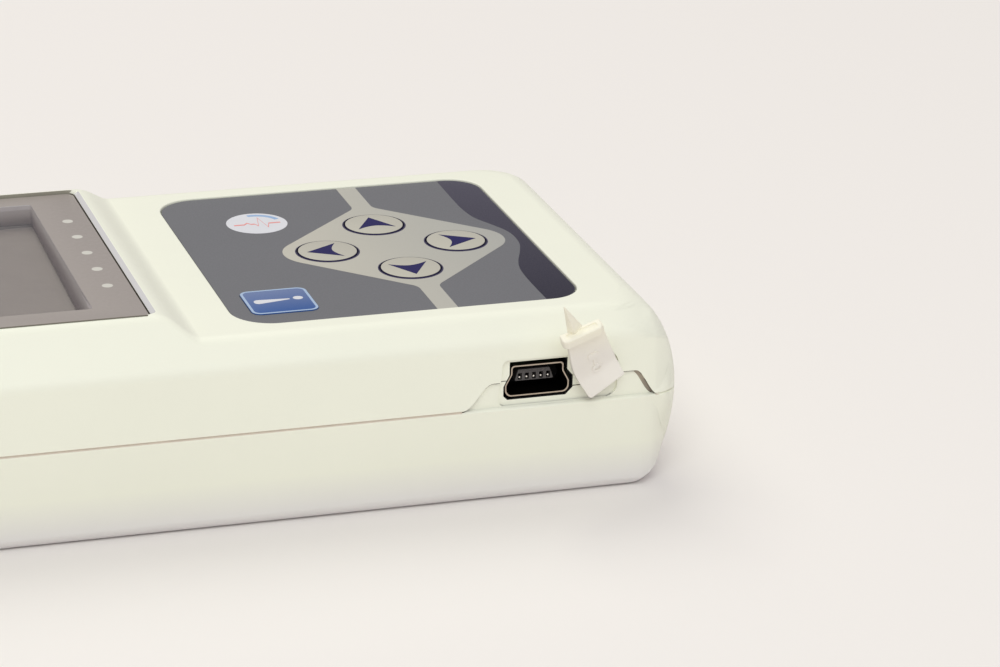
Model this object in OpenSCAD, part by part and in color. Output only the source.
// Pocket heart-rhythm recorder: two shells around a circuit board, a display, five keys and two cells.
// Sizes are in millimetres. X runs from the lead end to the keypad end, the data port is on the -Y side
// and +Z is up. The origin is the middle of the footprint, on the surface that the case rests on.

/* [Case] */
// Length of the case, from the lead end to the keypad end
case_l = 100; // [90:1:130]
// Width of the case, across the keypad
case_w = 54.4; // [52:0.2:70]
// Height of the case at the display
case_h = 23; // [22.8:0.2:29]
// How far the display end stands above the keypad end
raise = 2.2; // [1:0.1:3]
// Height of the joint between the two shells
part_z = 11; // [10.8:0.1:11.4]
// Thickness of the side and end walls, and of the roof over the keys
wall = 1.8; // [1.2:0.1:2.4]
// Thickness of the floor
floor_t = 2.2; // [1.9:0.1:2.8]
// Thickness of the roof round the display
display_roof = 2.6; // [2.2:0.1:3]
// Radius of the upright corners
corner_r = 3.3; // [2:0.1:6]
// How far the ends draw in at the floor
end_low = 3.8; // [2:0.1:5]
// How far the ends draw in at the top
end_top = 5; // [3:0.1:6.5]
// Radius of the long lower edges
base_edge_r = 1.5; // [0.5:0.1:2]
// How far the sides draw in at the floor
side_low = 0.65; // [0:0.05:1]
// How far the sides draw in at the shoulder
side_top = 0.6; // [0:0.05:1]
// Width and height of the slanted shoulder along the keypad
shoulder = 2.6; // [1.5:0.1:3]
// Length of the slope from the display down to the keypad
slope_l = 3.6; // [2.5:0.1:6]
// Height of the lip that locates the shells
lip_h = 1.2; // [0.8:0.1:1.5]

/* [Display] */
// Margin of the lens at the lead end of the case
lens_end_gap = 9.9; // [8:0.1:14]
// Margin between the lens and the crest of the slope
lens_crest_gap = 1.1; // [0.4:0.1:2]
// Margin between the lens and the slanted shoulder
lens_side_gap = 0.8; // [0.5:0.1:3]
// Thickness of the display lens
lens_t = 1; // [0.8:0.1:1.2]
// How far the lens lies below the rim
lens_sink = 0.4; // [0.2:0.1:0.6]
// Thickness of the adhesive under the lens
tape_t = 0.12; // [0.1:0.01:0.2]
// Radius of the lens corners
lens_r = 1; // [0.5:0.1:3]
// Border of the lens at the keypad side of the window
window_end_border = 5.3; // [3:0.1:8]
// Border of the lens at either side of the window
window_side_border = 4; // [2:0.1:6]
// How far the roof opening stands back from the window
window_back = 1; // [0.5:0.1:1.5]
// Thickness of the display glass
glass_t = 1.5; // [1:0.1:1.8]
// How far the display glass reaches past the window
glass_over = 2.2; // [1.5:0.1:3]
// Sheet thickness of the display's metal frame
frame_t = 0.3; // [0.2:0.05:0.4]

/* [Keypad] */
// Length of the keypad overlay
panel_l = 38.4; // [34:0.1:42]
// Margin between the overlay and the keypad end of the case
panel_end_gap = 9.5; // [8:0.1:12]
// Margin between the overlay and the slanted shoulder
panel_side_gap = 3; // [2:0.1:5]
// Radius of the overlay's corners near the display
panel_r_in = 4.5; // [2:0.1:6]
// Radius of the overlay's corners near the end
panel_r_out = 3.8; // [1:0.1:5]
// Thickness of the overlay
panel_t = 0.4; // [0.2:0.05:0.5]
// How far the overlay lies below the case top
panel_sink = 0.2; // [0:0.05:0.3]
// Distance of the key cross from the overlay's keypad end
cross_from_end = 15.75; // [14:0.05:18]
// Distance of each direction key from the middle of the cross
key_pitch = 7.5; // [7.2:0.1:9]
// Radius of a direction key
key_r = 3.3; // [2.4:0.1:3.6]
// Distance of the event key from the overlay's display end
event_from_end = 5.9; // [5.4:0.1:8]
// Distance of the event key from the middle, towards the port side
event_from_mid = 14.4; // [13:0.1:15.5]
// Length of the event key
event_l = 7.1; // [5:0.1:7.5]
// Width of the event key
event_w = 6.9; // [5:0.1:7.5]
// Radius of the event key's corners
event_r = 1; // [0.5:0.1:2]
// How far the keys stand above the overlay
key_proud = 0.1; // [0.05:0.05:0.6]
// Travel of the keys
key_travel = 0.3; // [0.2:0.05:0.4]
// Gap round each key
key_gap = 0.2; // [0.1:0.05:0.3]
// Thickness of the flange that holds each key in
key_flange_t = 0.6; // [0.4:0.05:0.7]
// How far that flange reaches under the roof
key_flange_over = 0.6; // [0.4:0.05:0.8]
// Radius of the key's plunger
plunger_r = 1; // [0.8:0.1:1.2]
// Side of a switch body
switch_side = 4.5; // [4:0.1:5]
// Height of a switch body
switch_h = 1; // [0.9:0.05:1.05]

/* [Board] */
// Thickness of the circuit board
board_t = 1.2; // [0.8:0.1:1.3]
// Gap between the board and the walls
board_gap = 1.2; // [0.5:0.1:2]
// Radius of the buzzer
buzzer_r = 4.2; // [3:0.1:5]
// Height of the buzzer
buzzer_h = 3.8; // [2:0.1:4.5]
// Radius of the clock's coin cell
coin_r = 6.25; // [4.5:0.05:6.25]
// Thickness of the clock's coin cell
coin_t = 2; // [1.2:0.1:2.5]

/* [Data port] */
// Distance of the port from the keypad end of the case
port_from_end = 16.5; // [15:0.1:20]
// Height of the port's middle above the joint of the shells
port_rise = 2.8; // [2.7:0.05:2.9]
// Outer height of the metal port shell
port_h = 3.9; // [3.7:0.05:4]
// Outer width of the port shell at its broad lower side
port_w_low = 7.4; // [7:0.1:7.7]
// Outer width of the port shell at its narrow upper side
port_w_top = 6.1; // [5.8:0.1:6.6]
// Sheet thickness of the port shell
port_sheet = 0.3; // [0.25:0.05:0.4]
// Depth of the port shell
port_depth = 9.2; // [8:0.1:10]
// Spacing of the port's contacts
contact_pitch = 0.8; // [0.8:0.1:0.8]
// Depth of the tongue's face behind the mouth of the port
tongue_back = 1.1; // [0.8:0.1:2]
// Cut of the port shell's lower corners
port_corner = 0.55; // [0.4:0.05:0.7]
// Gap between the port shell and the opening in the case
port_gap = 0.3; // [0.2:0.05:0.4]
// That gap at the side away from the cover's stem
port_gap_far = 0.12; // [0.1:0.01:0.3]
// Depth of the cover's pocket
pocket_d = 0.8; // [0.5:0.05:1]
// Radius of the pocket's corners beside the port
pocket_r = 0.7; // [0.4:0.1:1.2]
// Radius of the pocket's corners at the cover's stem
pocket_end_r = 1.3; // [0.8:0.1:2]
// How far the pocket's side beside the port draws in at its top
pocket_lean = 0.4; // [0:0.05:0.6]
// How far the raised edge of the rear shell is set in
tongue_sink = 0.55; // [0.3:0.05:0.7]

/* [Port cover] */
// Distance of the cover's anchor from the middle of the port
anchor_from_port = 6.45; // [6.4:0.01:7.2]
// Height of the anchor above the middle of the port
anchor_rise = 0.2; // [0:0.1:0.3]
// Width of the cover
cover_w = 4.4; // [4:0.1:4.6]
// Length of the cover from its fold to the grip
cover_l = 7; // [6.5:0.1:9]
// Thickness of the cover
cover_t = 0.7; // [0.6:0.05:0.9]
// Turn of the open cover from the upright
cover_turn = 27; // [0:1:40]
// Lean of the open cover away from the case
cover_lean = 28; // [10:1:35]
// Thickness of the grip along the cover
grip_t = 0.7; // [0.6:0.05:1.6]
// How far the grip stands out from the cover
grip_out = 0.3; // [0.2:0.05:1.5]
// How far the grip is set to one side of the cover
grip_shift = 0.33; // [0:0.01:0.4]
// Height of the pointed peg on the grip
peg_h = 4.4; // [2:0.1:5]
// Width of the peg's foot
peg_w = 1.9; // [1:0.05:2.2]
// Radius of the anchor's stem
stem_r = 0.65; // [0.5:0.05:0.7]
// Running clearance round the stem
stem_gap = 0.06; // [0.03:0.01:0.1]
// Gap between the cover and the side of the case
cover_gap = 0.15; // [0.1:0.05:0.3]

/* [Lead socket] */
// Outer width of the socket
socket_w = 24; // [20:0.5:26]
// Outer height of the socket
socket_h = 7.6; // [7:0.1:7.8]
// Length of the socket
socket_l = 12; // [11:0.1:12.5]
// Wall of the socket
socket_wall = 0.8; // [0.6:0.05:1]
// Depth of the recess in front of the contacts
socket_recess = 5; // [4.5:0.1:5.5]
// How far the socket's mouth lies behind the end of the case
socket_sink = 0.6; // [0.4:0.1:1]
// Spacing of the socket's contacts along a row
lead_pitch = 3.6; // [2.5:0.1:3.8]
// Spacing of the socket's two rows
lead_row_pitch = 2.6; // [2:0.1:2.8]
// Radius of the holes for the contacts
lead_hole_r = 0.65; // [0.5:0.05:0.8]
// Outer radius of a contact
lead_contact_r = 0.6; // [0.45:0.05:0.75]
// Bore radius of a contact
lead_bore_r = 0.4; // [0.3:0.05:0.5]

/* [Cells] */
// Diameter of a cell
cell_d = 10.5; // [8.4:0.1:10.5]
// Length of a cell, with its button
cell_l = 44.5; // [40:0.1:48]
// Gap between the two cells
cell_gap = 0.6; // [0.4:0.1:2]
// Room at each end of the cells for the contacts
contact_room = 2.6; // [2:0.1:4]
// Gap between the cells and the bay's walls
bay_gap = 0.3; // [0.2:0.1:0.6]
// Wall of the cell bay
bay_wall = 1; // [0.8:0.1:1.2]
// Distance of the bay's middle from the middle of the case, towards the keypad
bay_shift = 2.4; // [0:0.1:3]
// Sheet thickness of the cell contacts
strip_t = 0.35; // [0.25:0.05:0.5]

/* [Door] */
// Thickness of the door
door_t = 1.4; // [1.2:0.1:1.5]
// How far the door reaches past the bay opening
door_over = 1.4; // [1:0.1:2]
// Gap round the door
door_gap = 0.2; // [0.1:0.05:0.3]
// Radius of the door's hinge pegs
hinge_r = 0.45; // [0.35:0.05:0.5]
// Running clearance round the hinge pegs
hinge_gap = 0.06; // [0.03:0.01:0.1]
// Length of a hinge peg
hinge_l = 1.2; // [0.8:0.1:1.5]

/* [Screws] */
// Distance of the case screws from the ends of the case
screw_from_end = 8.5; // [8:0.1:10]
// Distance of the case screws from the sides of the case
screw_from_side = 6.4; // [6:0.1:7]
// Radius of a case screw's thread
screw_r = 1; // [0.8:0.05:1.2]
// Radius of a case screw's head
screw_head_r = 1.9; // [1.6:0.1:2]
// Radius of the screw posts
post_r = 2.9; // [2.6:0.1:3]
// Length of a case screw under its head
screw_l = 11; // [9:0.5:11.5]
// Depth of the recess for a case screw's head
screw_sink = 2.6; // [2:0.1:3]
// Radius of a board screw's thread
board_screw_r = 0.8; // [0.6:0.05:0.9]
// Distance of the board screws from the sides of the case
board_screw_from_side = 5; // [4.8:0.1:5.4]

/* [Hidden] */
$fn = 48;
eps = 0.01;
steps = 16;
half_l = case_l / 2;
half_w = case_w / 2;
key_z = case_h - raise;
shoulder_z = key_z - shoulder;

// Stack of the display and the keypad, from the top down
lens_top = case_h - lens_sink;
lens_z = lens_top - lens_t;
tape_z = lens_z - tape_t;
roof_low_display = case_h - display_roof;
roof_low_keys = key_z - wall;
panel_top = key_z - panel_sink;
panel_z = panel_top - panel_t;
key_top = panel_top + key_proud;

// Board, which hangs the port under it
port_x = half_l - port_from_end;
port_z = part_z + port_rise;
board_z = port_z + port_h / 2;
board_top = board_z + board_t;

// Display
panel_x1 = half_l - panel_end_gap;
panel_x0 = panel_x1 - panel_l;
panel_w = case_w - 2 * (shoulder + side_top + panel_side_gap);
foot_x = panel_x0 - 4.8;
crest_x = foot_x - slope_l;
lens_x0 = -half_l + lens_end_gap;
lens_x1 = crest_x - lens_crest_gap;
lens_w = case_w - 2 * (side_top + case_h - shoulder_z + lens_side_gap);
window_x0 = lens_x0 + window_end_border;
window_x1 = lens_x1 - window_end_border;
window_w = lens_w - 2 * window_side_border;
frame_top = roof_low_display - 0.05;
glass_top = frame_top - frame_t;
glass_z = glass_top - glass_t;
glass_x0 = window_x0 - glass_over;
glass_x1 = window_x1 + glass_over;
glass_w = window_w + 2 * glass_over;

// Keys: middle of the cross, and the places of the five keys
cross_x = panel_x1 - cross_from_end;
event_x = panel_x0 + event_from_end;
event_y = -event_from_mid;
key_places = [
    [cross_x - key_pitch, 0], [cross_x + key_pitch, 0], [cross_x, -key_pitch], [cross_x, key_pitch],
    [event_x, event_y]
];
flange_top = roof_low_keys - 0.05;
flange_low = flange_top - key_flange_t;
dome_z = board_top + 0.2;
dome_t = 0.1;
plunger_low = dome_z + dome_t + key_travel + 0.05;

// Pocket for the port's cover, and the raised edge of the rear shell that carries its lower half
pocket_x0 = port_x - 4.5;
pocket_z0 = part_z + 0.1;
pocket_z1 = port_z + 2.5;
pocket_x1 = port_x + anchor_from_port + 2.55;
edge_x0 = port_x - 8.6;
edge_x1 = port_x - 5;
edge_x2 = port_x + 10.5;
edge_x3 = port_x + 13.1;
edge_gap = 0.08;
edge_gap_end = 0.5;
mouth_y = -half_w + pocket_d + 0.1;

// Cover: its anchor, the direction of its length and of its width in the side plane
anchor_x = port_x + anchor_from_port;
anchor_z = port_z + anchor_rise;
anchor_low = 1.3;
anchor_high = 0.4;
fold_at = 1;
fold_r = cover_t / 2;
cover_y = -half_w - cover_gap - cover_t / 2;
barb_y = cover_t / 2 + cover_gap + wall + 0.7 * side_top;

// Cells, bay and door
bay_l = cell_l + 2 * contact_room;
bay_w = 2 * cell_d + cell_gap + 2 * bay_gap;
bay_x0 = bay_shift - bay_l / 2;
bay_x1 = bay_shift + bay_l / 2;
cell_y = (cell_d + cell_gap) / 2;
cell_z = door_t + 0.35 + cell_d / 2;
bay_top = cell_z + cell_d / 2 + bay_gap;
door_x0 = bay_x0 - door_over;
door_x1 = bay_x1 + door_over;
door_w = bay_w + 2 * door_over;
hinge_x = door_x0 + door_t / 2;
hinge_z = door_t / 2;
cell_button_r = 1.9;
cell_button_h = 0.9;

// Lead socket
socket_x0 = -half_l + socket_sink;
socket_top = board_z;
socket_z = socket_top - socket_h;
socket_mid_z = socket_z + socket_h / 2;
block_x0 = socket_x0 + socket_recess;
lead_columns = 5;

// Screws
screw_x = half_l - screw_from_end;
screw_y = half_w - screw_from_side;
post_join_z = part_z - 1.5;
pilot_gap = 0.02;
screw_places = [for (sx = [-1, 1], sy = [-1, 1]) [sx * screw_x, sy * screw_y]];
board_screw_y = half_w - board_screw_from_side;
board_screw_places = [for (x = [crest_x + 3.4, cross_x - 0.7], sy = [-1, 1]) [x, sy * board_screw_y]];
board_head_r = 1.5;
board_head_t = 0.9;
board_post_r = 1.9;
board_screw_l = board_t + 1.6;

// Outline of the case seen from the side, with the walls drawn in by o
function arc_up(end, depth, z0, z1, o, from, to) = [
    for (i = [0 : steps])
        let (a = from + (to - from) * i / steps)
        [end * (half_l - o - depth * (1 - cos(a))), z0 + (z1 - z0) * sin(a)]
];
function side_points(o, z_low, z_keys, z_display, slope_shift) = concat(
    arc_up(1, end_low, part_z, z_low, o, 90, 0),
    arc_up(1, end_top, part_z, z_keys, o, 90 / steps, 90),
    [[foot_x - slope_shift, z_keys], [crest_x - slope_shift, z_display]],
    arc_up(-1, end_top + 0.4, part_z, z_display, o, 90, 0),
    arc_up(-1, end_low, part_z, z_low, o, 90 / steps, 90)
);

// Half outline of the case seen from the end, with the walls drawn in by o
function section_half(o, z_low, z_high, r) = concat(
    [for (i = [0 : 4])
        let (a = 90 * i / 4)
        [half_w - o - side_low - r + r * sin(a), z_low + r - r * cos(a)]],
    [[half_w - o, part_z]],
    [[half_w - o - side_top, shoulder_z - 0.414 * o]],
    [[half_w - o - side_top - (z_high - shoulder_z + 0.414 * o), z_high]]
);
function mirrored(points) = [for (i = [len(points) - 1 : -1 : 0]) [-points[i][0], points[i][1]]];

module rounded_box(x0, x1, w, z0, z1, r) {
    translate([0, 0, z0])
        linear_extrude(z1 - z0)
            rounded_outline(x0, x1, w, r, r);
}

module rounded_outline(x0, x1, w, r0, r1) {
    translate([x0 + r0, -w / 2])
        square([x1 - x0 - r0 - r1, w]);
    translate([x0, -w / 2 + r0])
        square([r0 + eps, w - 2 * r0]);
    translate([x1 - r1 - eps, -w / 2 + r1])
        square([r1 + eps, w - 2 * r1]);
    for (s = [-1, 1]) {
        translate([x0 + r0, s * (w / 2 - r0)])
            circle(r0);
        translate([x1 - r1, s * (w / 2 - r1)])
            circle(r1);
    }
}

// Body bounded by the side outline, the end outline and the plan outline
module envelope(o, z_low, z_keys, z_display, edge_r, slope_shift) {
    section = section_half(o, z_low, z_display, edge_r);
    intersection() {
        rotate([90, 0, 0])
            linear_extrude(case_w + 2, center = true)
                polygon(side_points(o, z_low, z_keys, z_display, slope_shift));
        rotate([90, 0, 90])
            linear_extrude(case_l + 2, center = true)
                polygon(concat(section, mirrored(section)));
        linear_extrude(case_h + 1)
            rounded_outline(-half_l + o, half_l - o, case_w - 2 * o, corner_r - o * 0.7, corner_r - o * 0.7);
    }
}

module outside() {
    envelope(0, 0, key_z, case_h, base_edge_r, 0);
}

module inside() {
    envelope(wall, floor_t, roof_low_keys, roof_low_display, 0.5, 0.8);
}

// A slab that covers the whole plan, from one height to another
module band(z0, z1) {
    translate([-case_l, -case_w, z0])
        cube([2 * case_l, 2 * case_w, z1 - z0]);
}

// Extrude an X-Z outline along Y from y0 to y1
module along_y(y0, y1) {
    translate([0, y1, 0])
        rotate([90, 0, 0])
            linear_extrude(y1 - y0)
                children();
}

// Extrude a Y-Z outline along X from x0 to x1
module along_x(x0, x1) {
    translate([x0, 0, 0])
        rotate([90, 0, 90])
            linear_extrude(x1 - x0)
                children();
}

// Raised edge of the rear shell beside the port, which rises and falls in two soft steps.
// grow widens it for the opening in the front shell, and shift moves the falling step outwards.
module raised_edge(grow, shift) {
    rise = port_z - part_z + grow;
    up = [for (i = [0 : steps])
        [edge_x0 - grow + (edge_x1 - edge_x0) * i / steps, part_z + rise * (1 - cos(180 * i / steps)) / 2]];
    down = [for (i = [0 : steps])
        [edge_x2 + shift + (edge_x3 - edge_x2) * i / steps, part_z + rise * (1 + cos(180 * i / steps)) / 2]];
    polygon(concat(up, down, [[edge_x3 + shift, part_z - 0.5], [edge_x0 - grow, part_z - 0.5]]));
}

// Outline of the metal port shell, drawn in by d
module port_outline(d) {
    low = port_w_low / 2 - d;
    top = port_w_top / 2 - d;
    half_h = port_h / 2 - d;
    translate([port_x, port_z])
        polygon([
            [-low, -half_h + port_corner], [-low + port_corner, -half_h],
            [low - port_corner, -half_h], [low, -half_h + port_corner], [low, -0.75 - d * 0.3],
            [top, 0.55 - d * 0.3], [top, half_h], [-top, half_h], [-top, 0.55 - d * 0.3], [-low, -0.75 - d * 0.3]
        ]);
}

// Opening in the two shells round the port, open below the board's seat
module port_opening() {
    low = port_w_low / 2 + port_gap;
    top = port_w_top / 2 + port_gap;
    low_far = port_w_low / 2 + port_gap_far;
    top_far = port_w_top / 2 + port_gap_far;
    half_h = port_h / 2 + 0.2;
    cut = port_corner + 0.25;
    cut_far = port_corner - 0.1;
    translate([port_x, port_z])
        polygon([
            [-low_far, -half_h + cut_far], [-low_far + cut_far, -half_h], [low - cut, -half_h], [low, -half_h + cut],
            [low, 0], [top, 0.8], [top, half_h], [-top_far, half_h], [-top_far, 0.55 + port_gap_far],
            [-low_far, -0.75 + port_gap_far]
        ]);
}

// Pocket for the cover: beside the port its side leans a little, at the stem its corners are rounder
module pocket_outline() {
    low = pocket_z0 + pocket_r;
    high = pocket_z1 - pocket_r;
    run = sqrt(pocket_lean * pocket_lean + (high - low) * (high - low));
    out = [-(high - low) / run * pocket_r, pocket_lean / run * pocket_r];
    near = pocket_x0 + pocket_r;
    far = pocket_x1 - pocket_end_r;
    polygon([
        [near, low] + out, [near + pocket_lean, high] + out, [near + pocket_lean, high], [near + pocket_lean, pocket_z1],
        [far, pocket_z1], [far, pocket_z1 - pocket_end_r], [pocket_x1, pocket_z1 - pocket_end_r],
        [pocket_x1, pocket_z0 + pocket_end_r], [far, pocket_z0 + pocket_end_r], [far, pocket_z0], [near, pocket_z0],
        [near, low]
    ]);
    translate([near, low])
        circle(pocket_r);
    translate([near + pocket_lean, high])
        circle(pocket_r);
    for (z = [pocket_z0 + pocket_end_r, pocket_z1 - pocket_end_r])
        translate([far, z])
            circle(pocket_end_r);
}

// Everything that the port needs cut out of the two shells
module port_cuts() {
    along_y(-half_w - 1, -half_w + wall + 2)
        port_opening();
    along_y(-half_w - 1, -half_w + pocket_d)
        pocket_outline();
    translate([anchor_x, -half_w + wall + 1, anchor_z])
        rotate([90, 0, 0])
            cylinder(r = stem_r + stem_gap, h = wall + 2);
}

module socket_cut() {
    along_x(-half_l - 1, -half_l + wall + 2.5)
        translate([-socket_w / 2 - 0.1, socket_z - 0.1])
            square([socket_w + 0.2, socket_h + 0.2]);
}

module event_prism(grow, z0, z1) {
    translate([event_x, event_y, 0])
        rounded_box(-event_l / 2 - grow, event_l / 2 + grow, event_w + 2 * grow, z0, z1, event_r + grow);
}

// Holes for the five keys, from one height to another
module key_holes(z0, z1) {
    for (i = [0 : 3])
        translate([key_places[i][0], key_places[i][1], z0])
            cylinder(r = key_r + key_gap, h = z1 - z0);
    event_prism(key_gap, z0, z1);
}

module front_shell() {
    color("#ECE9DA")
        difference() {
            union() {
                difference() {
                    intersection() {
                        outside();
                        band(part_z, case_h + 1);
                    }
                    inside();
                }
                for (p = screw_places)
                    translate([p[0], p[1], post_join_z + 0.1])
                        cylinder(r = post_r, h = roof_low_keys + 0.4 - post_join_z);
                for (p = board_screw_places)
                    translate([p[0], p[1], board_top])
                        cylinder(r = board_post_r, h = roof_low_keys + 0.4 - board_top);
            }
            intersection() {
                envelope(wall / 2, floor_t, roof_low_keys, roof_low_display, 0.5, 0);
                difference() {
                    band(part_z - 1, part_z + lip_h + 0.1);
                    for (p = screw_places)
                        translate([p[0], p[1], 0])
                            cylinder(r = post_r, h = case_h);
                }
            }
            rounded_box(lens_x0 - 0.1, lens_x1 + 0.1, lens_w + 0.2, tape_z, case_h + 1, lens_r);
            rounded_box(window_x0 - window_back, window_x1 + window_back, window_w + 2 * window_back,
                roof_low_display - 1, case_h, 0.8);
            translate([0, 0, panel_z])
                linear_extrude(case_h)
                    rounded_outline(panel_x0 - 0.1, panel_x1 + 0.1, panel_w + 0.2, panel_r_in, panel_r_out);
            key_holes(roof_low_keys - 1, case_h);
            for (p = screw_places)
                translate([p[0], p[1], 0])
                    cylinder(r = screw_r + pilot_gap, h = screw_sink + screw_l + 0.5);
            for (p = board_screw_places)
                translate([p[0], p[1], board_top - 1])
                    cylinder(r = board_screw_r + pilot_gap, h = board_screw_l - board_t + 1.2);
            along_y(-half_w - 1, -half_w + wall + 0.3)
                raised_edge(edge_gap, edge_gap_end);
            port_cuts();
            socket_cut();
        }
}

module rear_shell() {
    color("#E6E2D4")
        difference() {
            union() {
                difference() {
                    intersection() {
                        outside();
                        band(-1, part_z);
                    }
                    inside();
                }
                lip();
                along_y(-half_w + tongue_sink, -half_w + wall)
                    raised_edge(0, 0);
                translate([bay_x0 - bay_wall, -bay_w / 2 - bay_wall, floor_t - 0.5])
                    cube([bay_l + 2 * bay_wall, bay_w + 2 * bay_wall, bay_top + bay_wall - floor_t + 0.5]);
                for (p = screw_places)
                    translate([p[0], p[1], floor_t - 0.5])
                        cylinder(r = post_r, h = post_join_z - floor_t + 0.5);
                translate([door_x1 - 1, -3.5, floor_t - 0.5])
                    cube([4, 7, 1]);
            }
            translate([bay_x0, -bay_w / 2, -1])
                cube([bay_l, bay_w, bay_top + 1]);
            door_room();
            for (s = [-1, 1])
                translate([hinge_x, s * door_w / 2, hinge_z])
                    rotate([90, 0, 0])
                        cylinder(r = hinge_r + hinge_gap, h = 2 * (hinge_l + door_gap + 0.2), center = true);
            for (p = screw_places)
                translate([p[0], p[1], -1]) {
                    cylinder(r = screw_head_r + 0.2, h = screw_sink + 1);
                    cylinder(r = screw_r + 0.15, h = part_z);
                }
            port_cuts();
            socket_cut();
        }
}

// Lip of the rear shell, which stands inside the front shell
module lip() {
    difference() {
        intersection() {
            envelope(wall / 2 + 0.1, floor_t, roof_low_keys, roof_low_display, 0.5, 0);
            band(part_z - 0.5, part_z + lip_h);
        }
        inside();
        for (p = screw_places)
            translate([p[0], p[1], 0])
                cylinder(r = post_r + 0.15, h = case_h);
    }
}

// Recess for the door in the floor, with a thumb scoop at the keypad side
module door_room() {
    translate([door_x0 - door_gap, -door_w / 2 - door_gap, -1])
        cube([door_x1 - door_x0 + 2 * door_gap, door_w + 2 * door_gap, door_t + 1.05]);
    translate([door_x1 - 0.4, 0, -4.6])
        rotate([90, 0, 0])
            cylinder(r = 5.8, h = 7, center = true);
}

module battery_door() {
    color("#E2DED0") {
        translate([hinge_x, -door_w / 2, 0])
            cube([door_x1 - hinge_x, door_w, door_t]);
        translate([hinge_x, 0, hinge_z])
            rotate([90, 0, 0])
                cylinder(r = door_t / 2, h = door_w, center = true);
        for (s = [-1, 1])
            translate([hinge_x, s * (door_w / 2 + hinge_l / 2), hinge_z])
                rotate([90, 0, 0])
                    cylinder(r = hinge_r, h = hinge_l + 0.5, center = true);
    }
}

module display_lens() {
    color("#A6A09B")
        rounded_box(lens_x0, lens_x1, lens_w, lens_z, lens_top, lens_r);
}

module lens_tape() {
    color("#3A3A3A")
        difference() {
            rounded_box(lens_x0 + 0.3, lens_x1 - 0.3, lens_w - 0.6, tape_z, lens_z, lens_r);
            rounded_box(window_x0 - window_back, window_x1 + window_back, window_w + 2 * window_back,
                tape_z - 1, lens_z + 1, 0.8);
        }
}

module glass_block(grow, z0, z1) {
    translate([glass_x0 - grow, -glass_w / 2 - grow, z0])
        cube([glass_x1 - glass_x0 + 2 * grow, glass_w + 2 * grow, z1 - z0]);
}

module lcd_frame() {
    color("#B8BCC0")
        difference() {
            glass_block(frame_t, board_top, frame_top);
            glass_block(0, board_top - 1, glass_top);
            rounded_box(window_x0 - 0.6, window_x1 + 0.6, window_w + 1.2, board_top, case_h, 0.5);
            translate([glass_x1 - 1, -8.6, board_top - 1])
                cube([3, 17.2, glass_z - board_top + 1.6]);
        }
}

module lcd_glass() {
    color("#6F7472")
        glass_block(-0.05, glass_z, glass_top);
}

module lcd_backlight() {
    color("#F4F4EC")
        glass_block(-0.05, board_top, glass_z);
}

// Printed ribbon from the display glass down to the board
module lcd_ribbon() {
    color("#B5772C")
        translate([0, 8, 0])
            along_y(-16, 0)
                polygon([
                    [glass_x1, glass_z + 0.3], [glass_x1 + 1.2, glass_z + 0.3],
                    [glass_x1 + 1.9, glass_z - 0.4], [glass_x1 + 1.9, board_top + 0.15],
                    [glass_x1 + 3.6, board_top + 0.15], [glass_x1 + 3.6, board_top],
                    [glass_x1 + 1.75, board_top], [glass_x1 + 1.75, glass_z - 0.46],
                    [glass_x1 + 1.14, glass_z + 0.15], [glass_x1, glass_z + 0.15]
                ]);
}

module keypad_overlay() {
    color("#77797A")
        difference() {
            translate([0, 0, panel_z])
                linear_extrude(panel_t)
                    rounded_outline(panel_x0, panel_x1, panel_w, panel_r_in, panel_r_out);
            key_holes(panel_z - 1, panel_top + 1);
        }
}

// A direction key at place i: its cap, its flange under the roof and its plunger
module round_key(i) {
    color("#BDBBB1")
        translate([key_places[i][0], key_places[i][1], 0]) {
            translate([0, 0, flange_low])
                cylinder(r = key_r, h = key_top - flange_low);
            translate([0, 0, flange_low])
                cylinder(r = key_r + key_gap + key_flange_over, h = key_flange_t);
            translate([0, 0, plunger_low])
                cylinder(r = plunger_r, h = flange_low - plunger_low + 0.1);
        }
}

module key_up() {
    round_key(0);
}

module key_down() {
    round_key(1);
}

module key_left() {
    round_key(2);
}

module key_right() {
    round_key(3);
}

module key_event() {
    color("#2F66A8") {
        event_prism(0, flange_low, key_top);
        event_prism(key_gap + key_flange_over, flange_low, flange_top);
        translate([event_x, event_y, plunger_low])
            cylinder(r = plunger_r, h = flange_low - plunger_low + 0.1);
    }
}

module switch_bodies() {
    color("#2B2B2B")
        for (p = key_places)
            difference() {
                translate([p[0] - switch_side / 2, p[1] - switch_side / 2, board_top])
                    cube([switch_side, switch_side, switch_h]);
                translate([p[0], p[1], dome_z])
                    cylinder(r = plunger_r + 0.15, h = switch_h);
            }
}

module switch_domes() {
    color("#C9CBCD")
        for (p = key_places)
            translate([p[0], p[1], dome_z])
                cylinder(r = plunger_r, h = dome_t);
}

module main_board() {
    color("#2E6B45")
        difference() {
            intersection() {
                rounded_box(-half_l + wall + board_gap, half_l - wall - board_gap,
                    case_w - 2 * (wall + board_gap), board_z, board_top, 2);
                envelope(wall + board_gap - 0.5, floor_t, roof_low_keys, roof_low_display, 0.5, 0.8);
            }
            for (sx = [-1, 1], sy = [-1, 1])
                translate([sx * (screw_x + 5) - 8.5, sy * (screw_y + 5) - 8.5, board_z - 1])
                    cube([17, 17, board_t + 2]);
            for (p = board_screw_places)
                translate([p[0], p[1], board_z - 1])
                    cylinder(r = board_screw_r + 0.1, h = board_t + 2);
        }
}

// One chip hung under the board, by its middle and size
module chip(x, y, l, w, t) {
    translate([x - l / 2, y - w / 2, board_z - t])
        cube([l, w, t]);
}

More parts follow.
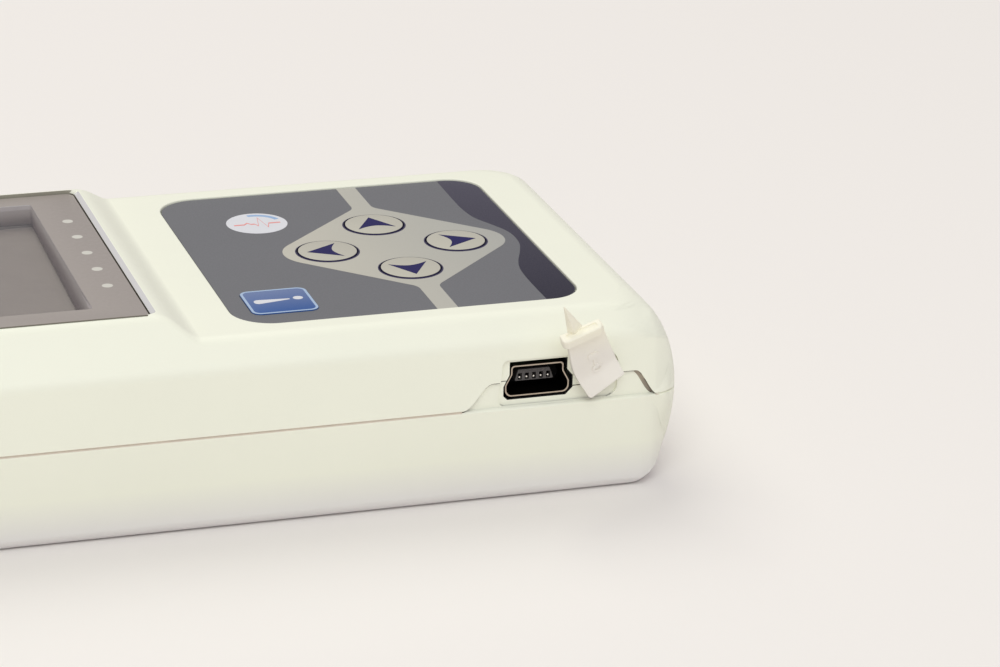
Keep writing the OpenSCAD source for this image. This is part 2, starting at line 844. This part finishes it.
module circuit_chips() {
    color("#26282A") {
        chip(bay_shift + 8, 3, 10, 10, 1);
        chip(bay_shift + 20, -2, 8, 12, 1);
        chip(bay_shift + 8, -9, 5, 6, 0.9);
        chip(bay_shift - 1, 18, 7, 5, 1);
        chip(bay_shift - 14, -18, 5, 5, 1);
        chip(bay_shift + 15, 18, 3.2, 2.5, 0.8);
    }
}

module analog_shield() {
    color("#B9BDC2")
        difference() {
            chip(bay_shift - 13, 0, 20, 16, 1.3);
            translate([bay_shift - 13 - 9.8, -7.8, board_z - 1.1])
                cube([19.6, 15.6, 2]);
        }
}

module buzzer() {
    color("#1F1F21")
        translate([screw_x - 4, screw_y - 7.5, board_z - buzzer_h])
            difference() {
                cylinder(r = buzzer_r, h = buzzer_h);
                translate([0, 0, -1])
                    cylinder(r = 0.7, h = 2);
            }
}

module clock_cell() {
    color("#C4C7CA")
        translate([half_l - 11.5, -0.5, board_z - coin_t])
            cylinder(r = coin_r, h = coin_t);
}

module port_shell() {
    color("#D9D6CF") {
        difference() {
            along_y(mouth_y, mouth_y + port_depth)
                port_outline(0);
            along_y(mouth_y - 1, mouth_y + port_depth - port_sheet)
                port_outline(port_sheet);
        }
    }
}

// Insulator of the port: a block at the back and the tongue that carries the contacts
module port_tongue() {
    tongue_y = mouth_y + tongue_back;
    back_y = mouth_y + port_depth - port_sheet;
    color("#3C3C3E")
        difference() {
            union() {
                along_y(back_y - 2.5, back_y)
                    port_outline(port_sheet);
                along_y(tongue_y, back_y - 2)
                    translate([port_x, port_z])
                        polygon([[-2.2, -0.7], [2.2, -0.7], [2.2, -0.1], [1.7, 1], [-1.7, 1], [-2.2, -0.1]]);
            }
            for (i = [-2 : 2])
                translate([port_x + i * contact_pitch - 0.22, tongue_y - 1, port_z - 1])
                    cube([0.44, back_y - 2.5 - tongue_y + 1, 1]);
        }
}

module port_contacts() {
    tongue_y = mouth_y + tongue_back;
    back_y = mouth_y + port_depth - port_sheet;
    color("#D8B45A")
        for (i = [-2 : 2])
            translate([port_x + i * contact_pitch - 0.15, tongue_y + 0.1, port_z - 0.3])
                cube([0.3, back_y - 2.5 - tongue_y - 0.1, 0.3]);
}

// Frame of the open cover: X along its width, Z along its length, Y into the case
module cover_place() {
    translate([anchor_x, cover_y, anchor_z])
        rotate([0, -cover_turn, 0])
            children();
}

module port_cover_anchor() {
    color("#DCD3C9")
        cover_place() {
            translate([-cover_w / 2, -cover_t / 2, -anchor_low])
                cube([cover_w, cover_t, anchor_low + anchor_high]);
            translate([0, cover_t / 2 - 0.1, 0])
                rotate([-90, 0, 0])
                    cylinder(r = stem_r, h = barb_y - cover_t / 2 + 0.5);
            translate([0, barb_y, 0])
                rotate([-90, 0, 0])
                    cylinder(r = stem_r + 0.55, h = 0.8);
        }
}

module port_cover() {
    color("#DCD3C9")
        cover_place()
            translate([0, 0, fold_at])
                rotate([cover_lean, 0, 0]) {
                    rotate([0, 90, 0])
                        cylinder(r = fold_r, h = cover_w, center = true);
                    translate([-cover_w / 2, -cover_t / 2, 0])
                        cube([cover_w, cover_t, cover_l + grip_t]);
                    translate([-cover_w / 2 - grip_shift, -cover_t / 2 - grip_out, cover_l])
                        cube([cover_w, grip_out + cover_t, grip_t]);
                    translate([-cover_w / 2 - grip_shift + 0.68 * peg_w, 0, cover_l + grip_t - eps])
                        linear_extrude(height = peg_h, scale = 0.1)
                            polygon([
                                [-0.3 * peg_w, 0], [-0.03 * peg_w, -cover_t / 2 - 0.5 * grip_out],
                                [0.7 * peg_w, 0], [0.05 * peg_w, 0.45 * cover_t]
                            ]);
                }
}

module lead_socket() {
    color("#4A4D50")
        difference() {
            translate([socket_x0, -socket_w / 2, socket_z])
                cube([socket_l, socket_w, socket_h]);
            translate([socket_x0 - 1, -socket_w / 2 + socket_wall, socket_z + socket_wall])
                cube([socket_recess + 1, socket_w - 2 * socket_wall, socket_h - 2 * socket_wall]);
            lead_array(block_x0 - 1, socket_l, lead_hole_r);
        }
}

// One cylinder for each of the socket's ten contacts
module lead_array(x0, h, r) {
    for (i = [0 : lead_columns - 1], s = [-1, 1])
        translate([x0, (i - (lead_columns - 1) / 2) * lead_pitch, socket_mid_z + s * lead_row_pitch / 2])
            rotate([0, 90, 0])
                cylinder(r = r, h = h);
}

module lead_contacts() {
    color("#D8B45A")
        difference() {
            lead_array(block_x0 + 0.2, socket_l - socket_recess + 0.3, lead_contact_r);
            lead_array(block_x0 - 1, socket_l - socket_recess - 0.5, lead_bore_r);
        }
}

// A cell at side s, with its button towards s times X
module cell(s) {
    translate([bay_shift, s * cell_y, cell_z])
        rotate([0, s * 90, 0]) {
            translate([0, 0, -cell_l / 2])
                cylinder(r = cell_d / 2, h = cell_l - cell_button_h);
            translate([0, 0, cell_l / 2 - cell_button_h - eps])
                cylinder(r = cell_button_r, h = cell_button_h + eps);
        }
}

module battery_near() {
    color("#5A6268")
        cell(-1);
}

module battery_far() {
    color("#5A6268")
        cell(1);
}

// Flat contact strip against an end wall of the bay, for the button of a cell
module flat_strip(end, y0, y1) {
    x = end > 0 ? bay_x1 - strip_t : bay_x0;
    translate([x, y0, cell_z - 3.2])
        cube([strip_t, y1 - y0, 6.4]);
}

// Folded leaf that presses on a cell: it stands on the strip and reaches the cell's end
module leaf(end, y) {
    reach = contact_room - strip_t - 0.05;
    x = end > 0 ? bay_x1 - strip_t : bay_x0 + strip_t;
    translate([x, y, cell_z])
        mirror([end > 0 ? 1 : 0, 0, 0])
            along_y(-2.2, 2.2)
                polygon([
                    [-0.1, -2.8], [reach - 0.3, 0.2], [reach, 1.4], [reach - strip_t, 1.5],
                    [reach - strip_t - 0.3, 0.5], [-0.1, -2.2]
                ]);
}

module button_pad(end, y) {
    reach = contact_room - strip_t - 0.05;
    x = end > 0 ? bay_x1 - strip_t - reach : bay_x0 + strip_t - 0.1;
    translate([x, y, cell_z])
        rotate([0, 90, 0])
            cylinder(r = 1.6, h = reach + 0.1);
}

module battery_bridge() {
    color("#CFD2D4") {
        flat_strip(1, -cell_y - 3, cell_y + 3);
        leaf(1, -cell_y);
        button_pad(1, cell_y);
    }
}

module battery_terminals() {
    color("#CFD2D4") {
        flat_strip(-1, cell_y - 3, cell_y + 3);
        leaf(-1, cell_y);
        flat_strip(-1, -cell_y - 3, -cell_y + 3);
        button_pad(-1, -cell_y);
    }
}

module case_screws() {
    color("#B4B7BA")
        for (p = screw_places)
            translate([p[0], p[1], screw_sink]) {
                difference() {
                    translate([0, 0, -1.3])
                        cylinder(r = screw_head_r, h = 1.3);
                    for (turn = [0, 90])
                        rotate([0, 0, turn])
                            translate([-1.1, -0.22, -1.5])
                                cube([2.2, 0.44, 0.9]);
                }
                translate([0, 0, -0.1])
                    cylinder(r = screw_r, h = screw_l + 0.1);
            }
}

module board_screws() {
    color("#B4B7BA")
        for (p = board_screw_places)
            translate([p[0], p[1], board_z]) {
                translate([0, 0, -board_head_t])
                    cylinder(r = board_head_r, h = board_head_t);
                cylinder(r = board_screw_r, h = board_screw_l);
            }
}

front_shell();
rear_shell();
battery_door();
display_lens();
lens_tape();
lcd_frame();
lcd_glass();
lcd_backlight();
lcd_ribbon();
keypad_overlay();
key_up();
key_down();
key_left();
key_right();
key_event();
switch_bodies();
switch_domes();
main_board();
circuit_chips();
analog_shield();
buzzer();
clock_cell();
port_shell();
port_tongue();
port_contacts();
port_cover();
port_cover_anchor();
lead_socket();
lead_contacts();
battery_near();
battery_far();
battery_bridge();
battery_terminals();
case_screws();
board_screws();
